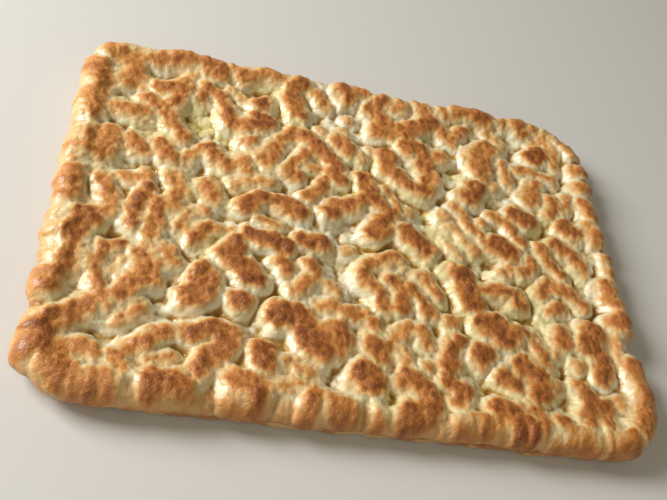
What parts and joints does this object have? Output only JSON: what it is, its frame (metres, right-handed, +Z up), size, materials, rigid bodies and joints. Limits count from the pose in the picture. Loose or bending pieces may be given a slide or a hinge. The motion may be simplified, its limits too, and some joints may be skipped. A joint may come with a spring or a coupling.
{
  "type": "focaccia",
  "caption": "Flat oblong loaf of bread with a rolled rim and a top of puffed, browned folds with oily hollows between them.",
  "frame": {"origin": "middle of the flat underside, on the surface that the loaf rests on", "axes": "+X along the length of the loaf, +Y across it away from the viewer, +Z up"},
  "size_m": [0.4, 0.3, 0.025],
  "materials": {
    "crust": "browned bread crust, dry and grainy on the folds and glossy with oil in the hollows"
  },
  "bodies": {
    "root": {"focaccia": "crust"}
  },
  "joints": []
}
